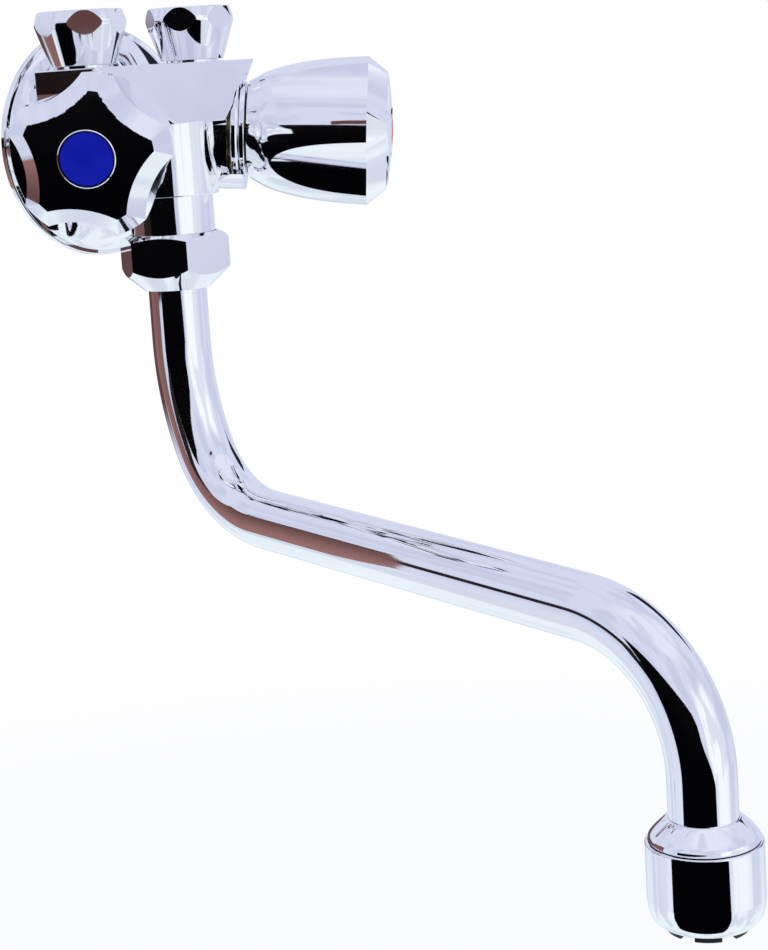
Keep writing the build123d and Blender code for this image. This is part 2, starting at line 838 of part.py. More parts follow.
with BuildPart() as aerator_screen:
    with BuildSketch(Plane.XY.offset(screen_bottom)):
        with Locations(outlet_centre):
            Circle(mouth_radius)
            for count, radius in ((6, 3.0), (12, 6.0)):
                with PolarLocations(radius, count):
                    Circle(0.8, mode=Mode.SUBTRACT)
    extrude(amount=screen_top - screen_bottom)
save(aerator_screen.part, "aerator_screen")

with BuildPart() as aerator_insert:
    with BuildSketch(outlet_section):
        with BuildLine():
            Polyline(
                (0, insert_top),
                (insert_radius, insert_top),
                (insert_radius, insert_foot),
                (mouth_radius - 1.3, insert_foot),
                (mouth_radius - 1.3, insert_bottom),
                (mouth_radius - 3.3, insert_bottom),
                (mouth_radius - 3.3, insert_foot),
                (0, insert_foot),
                close=True,
            )
        make_face()
    revolve(axis=Axis(outlet_section.origin, (0, 0, 1)))
    # castellated rim and the jet holes
    with BuildSketch(Plane.XY.offset(insert_bottom)):
        with Locations(outlet_centre):
            with PolarLocations(mouth_radius - 2.3, tooth_count):
                Rectangle(4, 2.3)
    extrude(amount=2.0, mode=Mode.SUBTRACT)
    with BuildSketch(Plane.XY.offset(insert_foot)):
        with Locations(outlet_centre):
            for count, radius in ((6, 2.6), (10, 6.0)):
                with PolarLocations(radius, count):
                    Circle(0.9)
    extrude(amount=insert_top - insert_foot, mode=Mode.SUBTRACT)
save(aerator_insert.part, "aerator_insert")

# Wall rosette: pressed sheet with a rolled rim
wall_section = Plane(origin=(0, 0, 0), x_dir=(1, 0, 0), z_dir=(0, 0, -1))
rosette_bore = half_inch_radius + 0.4
crown_radius = 18.0
with BuildPart() as wall_rosette:
    with BuildSketch(wall_section):
        with BuildLine():
            Polyline(
                (rosette_radius - rosette_sheet, 0),
                (rosette_radius, 0),
                (rosette_radius, rosette_lip - 0.5),
                (rosette_radius - 0.5, rosette_lip),
                (rosette_radius - rosette_step, rosette_lip),
                (rosette_radius - rosette_step - 0.6, rosette_lip + 0.6),
            )
            ThreePointArc(
                (rosette_radius - rosette_step - 0.6, rosette_lip + 0.6),
                ((rosette_radius + crown_radius) / 2, rosette_height - 1.4),
                (crown_radius, rosette_height),
            )
            Polyline(
                (crown_radius, rosette_height),
                (rosette_bore, rosette_height),
                (rosette_bore, rosette_height - rosette_sheet),
                (crown_radius, rosette_height - rosette_sheet),
            )
            ThreePointArc(
                (crown_radius, rosette_height - rosette_sheet),
                ((rosette_radius + crown_radius) / 2 - 0.3, rosette_height - 1.4 - rosette_sheet),
                (rosette_radius - rosette_step - 1.2, rosette_lip - 0.3),
            )
            Polyline(
                (rosette_radius - rosette_step - 1.2, rosette_lip - 0.3),
                (rosette_radius - rosette_sheet, rosette_lip - rosette_sheet),
                (rosette_radius - rosette_sheet, 0),
            )
        make_face()
    revolve(axis=Axis(wall_section.origin, (0, 1, 0)))
save(wall_rosette.part, "wall_rosette")
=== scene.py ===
import bpy
import json
from math import cos, pi, radians, sin, sqrt, tan
from mathutils import Matrix, Vector


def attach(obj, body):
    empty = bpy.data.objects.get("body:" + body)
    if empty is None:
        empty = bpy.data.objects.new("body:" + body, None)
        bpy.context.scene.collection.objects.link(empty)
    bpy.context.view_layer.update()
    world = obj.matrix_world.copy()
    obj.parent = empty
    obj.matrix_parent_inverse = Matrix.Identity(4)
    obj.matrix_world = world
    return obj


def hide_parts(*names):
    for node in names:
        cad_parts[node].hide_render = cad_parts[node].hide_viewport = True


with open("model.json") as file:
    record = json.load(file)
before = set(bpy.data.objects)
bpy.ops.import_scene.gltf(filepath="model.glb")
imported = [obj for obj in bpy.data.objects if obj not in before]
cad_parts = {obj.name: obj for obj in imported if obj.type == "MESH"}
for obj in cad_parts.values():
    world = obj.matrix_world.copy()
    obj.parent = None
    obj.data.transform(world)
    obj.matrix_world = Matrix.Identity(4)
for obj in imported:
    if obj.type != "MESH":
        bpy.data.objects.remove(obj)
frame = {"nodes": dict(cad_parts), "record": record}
nodes = frame["nodes"]
print("frame loaded,", len(nodes), "nodes")
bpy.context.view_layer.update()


# shader maths: an expression on Values adds its Math nodes
class Value:
    def __init__(self, tree, socket):
        self.tree = tree
        self.socket = socket

    def math(self, operation, other=None):
        node = self.tree.nodes.new("ShaderNodeMath")
        node.operation = operation
        self.tree.links.new(self.socket, node.inputs[0])
        if isinstance(other, Value):
            self.tree.links.new(other.socket, node.inputs[1])
        elif other is not None:
            node.inputs[1].default_value = other
        return Value(self.tree, node.outputs[0])

    def __add__(self, other):
        return self.math("ADD", other)

    def __mul__(self, other):
        return self.math("MULTIPLY", other)

    __radd__ = __add__
    __rmul__ = __mul__


class Shader:
    def __init__(self, tree):
        self.tree = tree
        self.tree.nodes.clear()

    # settings are attributes set first, sockets are values or links by name or number
    def node(self, kind, settings=None, sockets=None, output=0):
        made = self.tree.nodes.new("ShaderNode" + kind)
        for key, setting in (settings or {}).items():
            setattr(made, key, setting)
        for key, item in (sockets or {}).items():
            if isinstance(item, Value):
                self.tree.links.new(item.socket, made.inputs[key])
            else:
                made.inputs[key].default_value = item
        return Value(self.tree, made.outputs[output]) if len(made.outputs) else None

    def place(self):
        return self.node("TexCoord", output=3)

    def noise(self, place, scale, detail, roughness=0.5, stretch=(1, 1, 1)):
        spot = self.node("Mapping", sockets={"Vector": place, "Scale": stretch})
        return self.node(
            "TexNoise", sockets={"Vector": spot, "Scale": scale, "Detail": detail, "Roughness": roughness}
        )

    def band(self, value, low, high, start=0.0, end=1.0):
        return self.node(
            "MapRange",
            {"interpolation_type": "SMOOTHSTEP"},
            {"Value": value, "From Min": low, "From Max": high, "To Min": start, "To Max": end},
        )

    def blend(self, factor, first, second):
        return self.node("Mix", {"data_type": "RGBA"}, {0: factor, 6: first, 7: second}, output=2)


def colour(red, green, blue):
    return (red, green, blue, 1.0)


def newMaterial(name):
    made = bpy.data.materials.new(name)
    made.use_nodes = True
    return made, Shader(made.node_tree)


def finishMaterial(made, shader, settings, height, bump, reach=0.001):
    settings["Normal"] = shader.node(
        "Bump", sockets={"Strength": bump, "Distance": reach, "Height": height}
    )
    surface = shader.node("BsdfPrincipled", sockets=settings)
    shader.node("OutputMaterial", sockets={"Surface": surface})
    return made


# shared by the plated finishes: where the drift noise brings haze and spots, and how much of a spot is full
plating = {"hazeSpan": (0.35, 0.75), "spotSpan": (0.45, 0.7), "spotCore": 0.6, "ior": 2.5}


def chrome(name, look):
    made, shader = newMaterial(name)
    place = shader.place()
    drift = shader.noise(place, look["driftScale"], detail=2.0)
    peel = shader.noise(place, look["peelScale"], detail=3.0, roughness=0.55)
    polish = shader.noise(
        place, look["polishScale"], detail=4.0, roughness=0.6, stretch=look["polishStretch"]
    )
    spots = shader.node("TexVoronoi", sockets={"Vector": place, "Scale": look["spotScale"]})
    spotMask = shader.band(spots, look["spotSize"], look["spotSize"] * plating["spotCore"])
    spotMask = spotMask * shader.band(drift, *plating["spotSpan"])
    haze = shader.band(drift, *plating["hazeSpan"])
    tint = shader.blend(haze, colour(*look["clear"]), colour(*look["hazed"]))
    rough = look["roughness"] + haze * look["hazeRoughness"] + polish * look["polishRoughness"]
    rough = rough + spotMask * look["spotRoughness"]
    height = drift * look["waviness"] + peel * look["peelHeight"] + polish * look["polishHeight"]
    settings = {"Base Color": tint, "Metallic": 1.0, "Roughness": rough, "IOR": plating["ior"]}
    return finishMaterial(made, shader, settings, height, look["bump"])


castChrome = chrome("plated casting", {
    "clear": (0.93, 0.935, 0.955), "hazed": (0.89, 0.895, 0.92),
    "roughness": 0.035, "hazeRoughness": 0.02, "polishRoughness": 0.02,
    "driftScale": 45.0, "peelScale": 420.0, "polishScale": 900.0, "polishStretch": (1, 1, 0.12),
    "spotScale": 380.0, "spotSize": 0.12, "spotRoughness": 0.06,
    "waviness": 0.7, "peelHeight": 0.02, "polishHeight": 0.004, "bump": 0.12,
})
tubeChrome = chrome("plated tube", {
    "clear": (0.94, 0.945, 0.965), "hazed": (0.9, 0.905, 0.93),
    "roughness": 0.03, "hazeRoughness": 0.015, "polishRoughness": 0.015,
    "driftScale": 30.0, "peelScale": 300.0, "polishScale": 700.0, "polishStretch": (1, 0.08, 0.3),
    "spotScale": 300.0, "spotSize": 0.1, "spotRoughness": 0.05,
    "waviness": 0.35, "peelHeight": 0.01, "polishHeight": 0.003, "bump": 0.08,
})
knobChrome = chrome("plated handle", {
    "clear": (0.93, 0.935, 0.955), "hazed": (0.885, 0.89, 0.92),
    "roughness": 0.04, "hazeRoughness": 0.02, "polishRoughness": 0.02,
    "driftScale": 60.0, "peelScale": 500.0, "polishScale": 1100.0, "polishStretch": (0.2, 0.2, 1),
    "spotScale": 420.0, "spotSize": 0.12, "spotRoughness": 0.06,
    "waviness": 0.22, "peelHeight": 0.01, "polishHeight": 0.003, "bump": 0.07,
})
print("chrome ready")

# shared by the plain finishes: where the cloud noise turns dark to light, and how much it roughens
mottling = {"span": (0.3, 0.7), "roughness": 0.04, "specular": 0.5, "ior": 1.5}


def plain(name, look):
    made, shader = newMaterial(name)
    place = shader.place()
    grain = shader.noise(place, look["grainScale"], detail=4.0, roughness=0.6)
    mottle = shader.band(shader.noise(place, look["cloudScale"], detail=2.0), *mottling["span"])
    tint = shader.blend(mottle, colour(*look["dark"]), colour(*look["light"]))
    rough = look["roughness"] + mottle * mottling["roughness"] + grain * look["grainRoughness"]
    settings = {
        "Base Color": tint, "Metallic": look.get("metallic", 0.0), "Roughness": rough, "IOR": mottling["ior"],
        "Specular IOR Level": look.get("specular", mottling["specular"]),
    }
    return finishMaterial(made, shader, settings, grain * look["grainHeight"], look["bump"])


finishes = {
    "brass_headwork": plain("turned brass", {
        "dark": (0.5, 0.37, 0.17), "light": (0.66, 0.52, 0.27), "metallic": 1.0, "roughness": 0.26,
        "grainScale": 900.0, "grainRoughness": 0.12, "grainHeight": 0.05, "cloudScale": 90.0, "bump": 0.12,
    }),
    "steel_fixing": plain("bright steel", {
        "dark": (0.5, 0.51, 0.53), "light": (0.62, 0.63, 0.65), "metallic": 1.0, "roughness": 0.24,
        "grainScale": 1200.0, "grainRoughness": 0.12, "grainHeight": 0.04, "cloudScale": 120.0, "bump": 0.12,
    }),
    "black_rubber": plain("seal rubber", {
        "dark": (0.012, 0.012, 0.013), "light": (0.022, 0.022, 0.023), "roughness": 0.55,
        "grainScale": 1500.0, "grainRoughness": 0.15, "grainHeight": 0.06, "cloudScale": 150.0, "bump": 0.2,
    }),
    "blue_index": plain("blue index", {
        "dark": (0.001, 0.006, 0.3), "light": (0.002, 0.009, 0.37), "specular": 0.12, "roughness": 0.3,
        "grainScale": 1600.0, "grainRoughness": 0.08, "grainHeight": 0.03, "cloudScale": 100.0, "bump": 0.08,
    }),
    "red_index": plain("red index", {
        "dark": (0.72, 0.06, 0.06), "light": (0.8, 0.08, 0.08), "roughness": 0.3,
        "grainScale": 1600.0, "grainRoughness": 0.08, "grainHeight": 0.03, "cloudScale": 100.0, "bump": 0.08,
    }),
    "black_plastic": plain("aerator plastic", {
        "dark": (0.012, 0.012, 0.014), "light": (0.02, 0.02, 0.023), "roughness": 0.38,
        "grainScale": 1300.0, "grainRoughness": 0.12, "grainHeight": 0.05, "cloudScale": 130.0, "bump": 0.15,
    }),
    "white_plastic": plain("slide ring plastic", {
        "dark": (0.74, 0.74, 0.7), "light": (0.8, 0.8, 0.77), "roughness": 0.42,
        "grainScale": 1300.0, "grainRoughness": 0.12, "grainHeight": 0.05, "cloudScale": 130.0, "bump": 0.12,
    }),
    "chrome_plate": castChrome,
}
for entry in frame["record"]["subparts"]:
    piece = nodes[entry["node"]]
    piece.data.materials.clear()
    piece.data.materials.append(finishes[entry["material_slot"]])
print("node finishes ready")

# modelling helpers
weldLathed = 4e-6  # points of a lathed mesh nearer than this become one
weldCut = 2e-6  # and those of a mesh that has been cut
axisRadius = 1e-6  # stands for a radius of 0
cutMargin = 0.001  # how far a cutter runs on past what it cuts
onPlane = 0.001  # how near a plane a point still counts as on it


def clearSelection():
    if bpy.context.object and bpy.context.object.mode != "OBJECT":
        bpy.ops.object.mode_set(mode="OBJECT")
    bpy.ops.object.select_all(action="DESELECT")


def selectOnly(made):
    clearSelection()
    made.select_set(True)
    bpy.context.view_layer.objects.active = made


def editAll():
    bpy.ops.object.mode_set(mode="EDIT")
    bpy.ops.mesh.select_all(action="SELECT")


def applyPlace():
    bpy.ops.object.transform_apply(location=True, rotation=True, scale=True)


def move(made, matrix):
    selectOnly(made)
    made.matrix_world = matrix
    applyPlace()
    return made


def copied(source, matrix):
    made = source.copy()
    made.data = source.data.copy()
    bpy.context.scene.collection.objects.link(made)
    return move(made, matrix)


def rounded(points, arcSteps=5):
    # (radius, height) points, with a third value where the corner is rounded
    path = []
    last = len(points) - 1
    for spot, point in enumerate(points):
        here = Vector(point[:2])
        if len(point) < 3 or spot in (0, last):
            path.append(tuple(here))
            continue
        before = (Vector(points[spot - 1][:2]) - here).normalized()
        after = (Vector(points[spot + 1][:2]) - here).normalized()
        half = before.angle(after) / 2
        reach = point[2] / tan(half)
        middle = here + (before + after).normalized() * point[2] / sin(half)
        first, second = here + before * reach - middle, here + after * reach - middle
        turn = first.angle_signed(second)
        for step in range(arcSteps + 1):
            spoke = first.copy()
            spoke.rotate(Matrix.Rotation(-turn * step / arcSteps, 2))
            path.append(tuple(middle + spoke))
    return path


def smoothCurve(points, steps=6):
    # passes through every point
    ends = [2 * Vector(points[0]) - Vector(points[1])] + [Vector(p) for p in points]
    ends.append(2 * Vector(points[-1]) - Vector(points[-2]))
    path = [tuple(points[0])]
    for a, b, c, d in zip(ends, ends[1:], ends[2:], ends[3:]):
        for step in range(1, steps + 1):
            t = step / steps
            path.append(tuple(0.5 * (
                2 * b + (c - a) * t + (2 * a - 5 * b + 4 * c - d) * t * t + (3 * b - a - 3 * c + d) * t ** 3
            )))
    return path


def domed(radius, height, rise, inner, steps):
    # from the edge of a shallow dome in to the inner radius
    ball = (radius ** 2 + rise ** 2) / (2 * rise)
    reaches = [radius + (inner - radius) * step / steps for step in range(steps + 1)]
    return [(reach, height + rise - ball + sqrt(ball ** 2 - reach ** 2)) for reach in reaches]


def lathe(name, profile, steps=128):
    # rings pulled up one after another; a radius of 0 closes on the axis
    clearSelection()
    rings = [(max(radius, axisRadius), height) for radius, height in profile]
    bpy.ops.mesh.primitive_circle_add(vertices=steps, radius=rings[0][0], location=(0, 0, rings[0][1]))
    made = bpy.context.object
    made.name = name
    editAll()
    for (radius, height), (nextRadius, nextHeight) in zip(rings, rings[1:]):
        bpy.ops.mesh.extrude_region_move(TRANSFORM_OT_translate={"value": (0, 0, nextHeight - height)})
        grow = nextRadius / radius
        bpy.ops.transform.resize(value=(grow, grow, 1), center_override=(0, 0, nextHeight))
    bpy.ops.mesh.select_all(action="SELECT")
    bpy.ops.mesh.remove_doubles(threshold=weldLathed)
    bpy.ops.mesh.normals_make_consistent(inside=False)
    bpy.ops.object.mode_set(mode="OBJECT")
    applyPlace()
    return made


def rod(radius, start, end, sides):
    start, end = Vector(start), Vector(end)
    clearSelection()
    bpy.ops.mesh.primitive_cylinder_add(vertices=sides, radius=radius, depth=(end - start).length)
    turn = (end - start).to_track_quat("Z", "Y").to_matrix().to_4x4()
    return move(bpy.context.object, Matrix.Translation((start + end) / 2) @ turn)


def hexagon(flats, low, high, turn):
    clearSelection()
    bpy.ops.mesh.primitive_cylinder_add(
        vertices=6, radius=flats / sqrt(3), depth=high - low, location=(0, 0, (low + high) / 2)
    )
    made = bpy.context.object
    made.rotation_euler = (0, 0, radians(turn + 30))
    applyPlace()
    return made


def useModifier(made, kind, **settings):
    selectOnly(made)
    modifier = made.modifiers.new(kind.lower(), kind)
    for key, setting in settings.items():
        setattr(modifier, key, setting)
    bpy.ops.object.modifier_apply(modifier=modifier.name)


def carve(made, *cutters, how="DIFFERENCE"):
    for cutter in cutters:
        useModifier(made, "BOOLEAN", object=cutter, operation=how, solver="EXACT")
        bpy.data.objects.remove(cutter)


def carveCopies(made, cutter, places):
    # one cut at each place, with a copy of the cutter, which goes at the end
    for place in places:
        carve(made, copied(cutter, place))
    bpy.data.objects.remove(cutter)


def ringOf(count, radius, turn=0.0):
    # places evenly round the axis, the first at the turn
    angles = [turn + 2 * pi * place / count for place in range(count)]
    return [Matrix.Translation((radius * cos(angle), radius * sin(angle), 0)) for angle in angles]


def soften(made, width, angle, segments):
    # cuts leave doubled points, which the bevel would stumble over
    selectOnly(made)
    editAll()
    bpy.ops.mesh.remove_doubles(threshold=weldCut)
    bpy.ops.object.mode_set(mode="OBJECT")
    useModifier(
        made, "BEVEL", width=width, segments=segments, limit_method="ANGLE",
        angle_limit=radians(angle), miter_outer="MITER_ARC", use_clamp_overlap=True,
    )
    return made


def finishPiece(made, body, finish, replaced, angle=32):
    selectOnly(made)
    bpy.ops.object.shade_smooth_by_angle(angle=radians(angle))
    useModifier(made, "WEIGHTED_NORMAL", keep_sharp=True)
    made.data.materials.clear()
    made.data.materials.append(finish)
    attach(made, body)
    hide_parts(*replaced)
    print("made", made.name, len(made.data.polygons), "faces")


# where the axes run, in metres and degrees
axes = {"spoutY": -0.0352, "reach": 0.1965, "valveY": -0.0154, "valveZ": 0.0038, "spread": 45, "drop": 4.4}
spoutAxis = Matrix.Translation((0, axes["spoutY"], 0))
outletAxis = Matrix.Translation((0, axes["spoutY"] - axes["reach"], 0))
wallAxis = Matrix.Rotation(pi / 2, 4, "X")  # lathed heights run out from the wall


def valveAxis(side):
    spread, drop = radians(axes["spread"]), radians(axes["drop"])
    out = Vector((side * sin(spread) * cos(drop), -cos(spread) * cos(drop), -sin(drop)))
    across = Vector((cos(spread), side * sin(spread), 0))
    turned = Matrix((across, out.cross(across), out)).transposed().to_4x4()
    return Matrix.Translation((0, axes["valveY"], axes["valveZ"])) @ turned


sides = {"cold": -1, "hot": 1}

# handles: a lathed barrel with five hollows cut by cylinders that open into cones at the front
handle = {
    "back": 0.0385, "rim": 0.0758, "face": 0.0819, "rise": 0.0015, "lip": 0.0005,
    "barrel": [(0.0155, 0.0397), (0.0185, 0.0456), (0.0210, 0.0551), (0.0224, 0.0648), (0.0232, 0.0758)],
    "foot": [(0.0141, 0.0), (0.0150, 0.0003)],  # radius, and height above the back
    "faceInset": 0.0046, "faceSteps": 4, "domeSteps": 8,
    "cavityRadius": 0.011, "cavityEnd": 0.0504, "cavityEdge": 0.0004,
    "recessRadius": 0.0076, "recessFloor": 0.0811,
    "lobes": 5, "hollowRadius": 0.0232, "hollowDepth": 0.0188, "cutBehind": 0.002, "cutAhead": 0.005,
    "firstLobe": {"cold": 7.75, "hot": 32.0}, "edge": 0.00032,
}


def handleProfile(faceRadius, rimRadius):
    back, rim, face = handle["back"], handle["rim"], handle["face"]
    cavity, chamfer = handle["cavityRadius"], handle["cavityEdge"]
    profile = [(0, handle["cavityEnd"]), (cavity, handle["cavityEnd"])]
    profile += [(cavity, back + chamfer), (cavity + chamfer, back)]
    profile += [(radius, back + height) for radius, height in handle["foot"]]
    profile += smoothCurve(handle["barrel"])
    for step in range(1, handle["faceSteps"]):
        share = step / handle["faceSteps"]
        profile.append((rimRadius + (faceRadius - rimRadius) * share, rim + (face - rim) * share))
    # a narrow raised lip holds the index disc
    recess, lip = handle["recessRadius"], handle["lip"]
    profile += domed(faceRadius, face, handle["rise"], recess + lip, handle["domeSteps"])
    crest = profile[-1][1] + lip / 2
    profile += [(recess + lip / 2, crest), (recess, crest)]
    return profile + [(recess, handle["recessFloor"]), (0, handle["recessFloor"])]


def makeHandle(sideName, side):
    rimRadius = handle["barrel"][-1][0]
    made = lathe(sideName + "Handle", handleProfile(rimRadius - handle["faceInset"], rimRadius), steps=180)
    start, end = handle["back"] - handle["cutBehind"], handle["face"] + handle["cutAhead"]
    narrow, wide = handle["hollowRadius"], handle["hollowRadius"] + handle["faceInset"]
    hollow = lathe("hollow", [
        (0, start), (narrow, start), (narrow, handle["rim"]), (wide, handle["face"]), (wide, end), (0, end),
    ], steps=256)
    # the first hollow is half a lobe on from the first lobe
    turn = radians(handle["firstLobe"][sideName]) + pi / handle["lobes"]
    carveCopies(made, hollow, ringOf(handle["lobes"], handle["hollowDepth"] + narrow, turn))
    soften(made, handle["edge"], angle=18, segments=3)
    move(made, valveAxis(side))
    finishPiece(made, sideName + "_control", knobChrome, [sideName + "_handle"])


for sideName, side in sides.items():
    makeHandle(sideName, side)

# index discs, slightly domed, sunk in the handle fronts
index = {
    "radius": 0.0075, "floor": 0.08115, "edgeHeight": 0.083, "front": 0.0837, "edge": 0.0003, "domeSteps": 10,
    "slots": {"cold": "blue_index", "hot": "red_index"},
}


def makeIndexDiscs():
    radius, floor, top = index["radius"], index["floor"], index["edgeHeight"]
    dome = domed(radius, top, index["front"] - top, 0, index["domeSteps"])
    profile = [(0, floor), (radius, floor), (radius, top, index["edge"]), *dome[1:]]
    disc = lathe("disc", rounded(profile), steps=96)
    for sideName, side in sides.items():
        made = copied(disc, valveAxis(side))
        made.name = sideName + "IndexDisc"
        body, slotName = sideName + "_control", index["slots"][sideName]
        finishPiece(made, body, finishes[slotName], [sideName + "_index"], angle=50)
    bpy.data.objects.remove(disc)


makeIndexDiscs()

# collars behind the handles, with a groove round the middle
collar = {
    "inner": 0.01205, "outer": 0.0148, "back": 0.0338, "front": 0.0381, "edge": 0.0004,
    "groove": 0.0005, "grooveHalf": 0.0006, "fineEdge": 0.0002,
}


def makeCollars():
    inner, outer, back, front = collar["inner"], collar["outer"], collar["back"], collar["front"]
    edge, fine, half, middle = collar["edge"], collar["fineEdge"], collar["grooveHalf"], (back + front) / 2
    ring = lathe("ring", rounded([
        (inner, back), (outer, back, edge), (outer, middle - half, fine),
        (outer - collar["groove"], middle, fine), (outer, middle + half, fine),
        (outer, front, edge), (inner, front, fine), (inner, back),
    ]), steps=128)
    for sideName, side in sides.items():
        made = copied(ring, valveAxis(side))
        made.name = sideName + "Collar"
        finishPiece(made, "tap_body", knobChrome, [sideName + "_collar"], angle=50)
    bpy.data.objects.remove(ring)


makeCollars()
print("handles, discs and collars ready")

# heater pipe nuts: a cone that narrows downwards, with six flats that bite only where it is wide
pipeNut = {
    "x": 0.021, "y": -0.0247, "base": 0.0233, "height": 0.0164, "footRadius": 0.00985, "footEdge": 0.0003,
    "browRadius": 0.014, "browHeight": 0.0125, "browRound": 0.003, "rimRadius": 0.01275, "rimRound": 0.0006,
    "flats": 0.0256, "threadRadius": 0.00838, "ledge": 0.0135, "edge": 0.0002,
    "throatRadius": 0.00535, "mouthFlare": 0.0004, "mouthEdge": 0.0003, "mouthDepth": 0.0006,
    "turns": {"left": 29.3, "right": 7.5},
}


def makePipeNut(sideName, x):
    base, top = pipeNut["base"], pipeNut["base"] + pipeNut["height"]
    thread, throat, ledge = pipeNut["threadRadius"], pipeNut["throatRadius"], base + pipeNut["ledge"]
    made = lathe(sideName + "PipeNut", rounded([
        (thread, base), (pipeNut["footRadius"], base, pipeNut["footEdge"]),
        (pipeNut["browRadius"], base + pipeNut["browHeight"], pipeNut["browRound"]),
        (pipeNut["rimRadius"], top, pipeNut["rimRound"]),
        (throat + pipeNut["mouthFlare"], top, pipeNut["mouthEdge"]), (throat, top - pipeNut["mouthDepth"]),
        (throat, ledge), (thread, ledge), (thread, base),
    ]), steps=160)
    cutter = hexagon(pipeNut["flats"], base - cutMargin, top + cutMargin, pipeNut["turns"][sideName])
    carve(made, cutter, how="INTERSECT")
    soften(made, pipeNut["edge"], angle=12, segments=2)
    move(made, Matrix.Translation((x, pipeNut["y"], 0)))
    finishPiece(made, "tap_body", castChrome, [sideName + "_pipe_nut"])


makePipeNut("left", -pipeNut["x"])
makePipeNut("right", pipeNut["x"])

# spout nut: hexagon with a turned chamfer above and a long cone below
spoutNut = {
    "top": -0.0289, "bottom": -0.0461, "flats": 0.0305, "topRadius": 0.01382, "topDrop": 0.0019,
    "coneRise": 0.0066, "bottomRadius": 0.0102, "bottomEdge": 0.0002, "threadRadius": 0.01327,
    "threadEnd": -0.0394, "seatRadius": 0.0126, "boreRadius": 0.0094, "ledge": -0.0428,
    "turn": 3.6, "edge": 0.0003,
}


def makeSpoutNut():
    top, bottom, corner = spoutNut["top"], spoutNut["bottom"], spoutNut["flats"] / sqrt(3)
    bore, seat, thread = spoutNut["boreRadius"], spoutNut["seatRadius"], spoutNut["threadRadius"]
    made = lathe("spoutNut", rounded([
        (bore, bottom), (spoutNut["bottomRadius"], bottom, spoutNut["bottomEdge"]),
        (corner, bottom + spoutNut["coneRise"]), (corner, top - spoutNut["topDrop"]),
        (spoutNut["topRadius"], top), (thread, top), (thread, spoutNut["threadEnd"]),
        (seat, spoutNut["threadEnd"]), (seat, spoutNut["ledge"]), (bore, spoutNut["ledge"]), (bore, bottom),
    ]), steps=160)
    cutter = hexagon(spoutNut["flats"], bottom - cutMargin, top + cutMargin, spoutNut["turn"])
    carve(made, cutter, how="INTERSECT")
    soften(made, spoutNut["edge"], angle=12, segments=2)
    move(made, spoutAxis)
    finishPiece(made, "tap_body", castChrome, ["spout_nut"])


makeSpoutNut()
print("nuts ready")

# spout tube: a ring carried down, round an easy and a tight bend, along the limb and over the outlet bend
spout = {
    "radius": 0.009, "wall": 0.001, "top": -0.0225, "bendStart": -0.0622, "end": -0.1866,
    "easyRadius": 0.0785, "easyAngle": 26.4, "tightRadius": 0.0335, "slope": 4.2, "outletRadius": 0.0389,
    "ringSides": 72, "steps": {"neck": 8, "easy": 16, "tight": 28, "limb": 20, "outlet": 36, "end": 6},
}


def spoutRoute():
    # stations of (forward, height, heading), heading 0 down and 90 degrees outwards
    rise, easy, steps = radians(90 - spout["slope"]), radians(spout["easyAngle"]), spout["steps"]
    drop = (spout["bendStart"] - spout["top"]) / steps["neck"]
    stations = [(0, spout["top"] + drop * k, 0.0) for k in range(steps["neck"] + 1)]

    def bend(radius, start, end, count):
        forward, height, _ = stations[-1]
        way = 1 if end > start else -1
        for k in range(1, count + 1):
            heading = start + (end - start) * k / count
            stations.append((
                forward + way * radius * (cos(start) - cos(heading)),
                height - way * radius * (sin(heading) - sin(start)), heading,
            ))

    bend(spout["easyRadius"], 0, easy, steps["easy"])
    bend(spout["tightRadius"], easy, rise, steps["tight"])
    forward, height, _ = stations[-1]
    length = (axes["reach"] - forward - spout["outletRadius"] * (1 - cos(rise))) / sin(rise) / steps["limb"]
    for k in range(1, steps["limb"] + 1):
        stations.append((forward + sin(rise) * length * k, height - cos(rise) * length * k, rise))
    bend(spout["outletRadius"], rise, 0, steps["outlet"])
    forward, height, _ = stations[-1]
    drop = (spout["end"] - height) / steps["end"]
    return stations + [(forward, height + drop * k, 0.0) for k in range(1, steps["end"] + 1)]


def makeSpoutTube():
    route = spoutRoute()
    clearSelection()
    bpy.ops.mesh.primitive_circle_add(
        vertices=spout["ringSides"], radius=spout["radius"], location=(0, axes["spoutY"], route[0][1])
    )
    made = bpy.context.object
    made.name = "spoutTube"
    editAll()
    for (forward, height, heading), (nextForward, nextHeight, nextHeading) in zip(route, route[1:]):
        bpy.ops.mesh.extrude_region_move(
            TRANSFORM_OT_translate={"value": (0, forward - nextForward, nextHeight - height)}
        )
        if nextHeading != heading:
            # with no window the rotate operator turns the other way
            bpy.ops.transform.rotate(
                value=nextHeading - heading, orient_axis="X", orient_type="GLOBAL",
                center_override=(0, axes["spoutY"] - nextForward, nextHeight),
            )
    bpy.ops.mesh.select_all(action="SELECT")
    bpy.ops.mesh.normals_make_consistent(inside=False)
    bpy.ops.object.mode_set(mode="OBJECT")
    applyPlace()
    useModifier(made, "SOLIDIFY", thickness=spout["wall"], offset=-1.0)
    finishPiece(made, "spout", tubeChrome, ["spout_tube"], angle=50)


makeSpoutTube()

# outlet: brazed cone, screwed housing and the toothed insert
cone = {
    "top": -0.1736, "bottom": -0.1794, "footRadius": 0.0142, "boreRadius": 0.00902,
    "flare": [(0.0095, -0.1736), (0.0106, -0.1745), (0.0127, -0.1765), (0.0139, -0.1779), (0.0144, -0.179)],
    "neckRadius": 0.012, "neckEnd": -0.1876, "neckEdge": 0.0002,
}


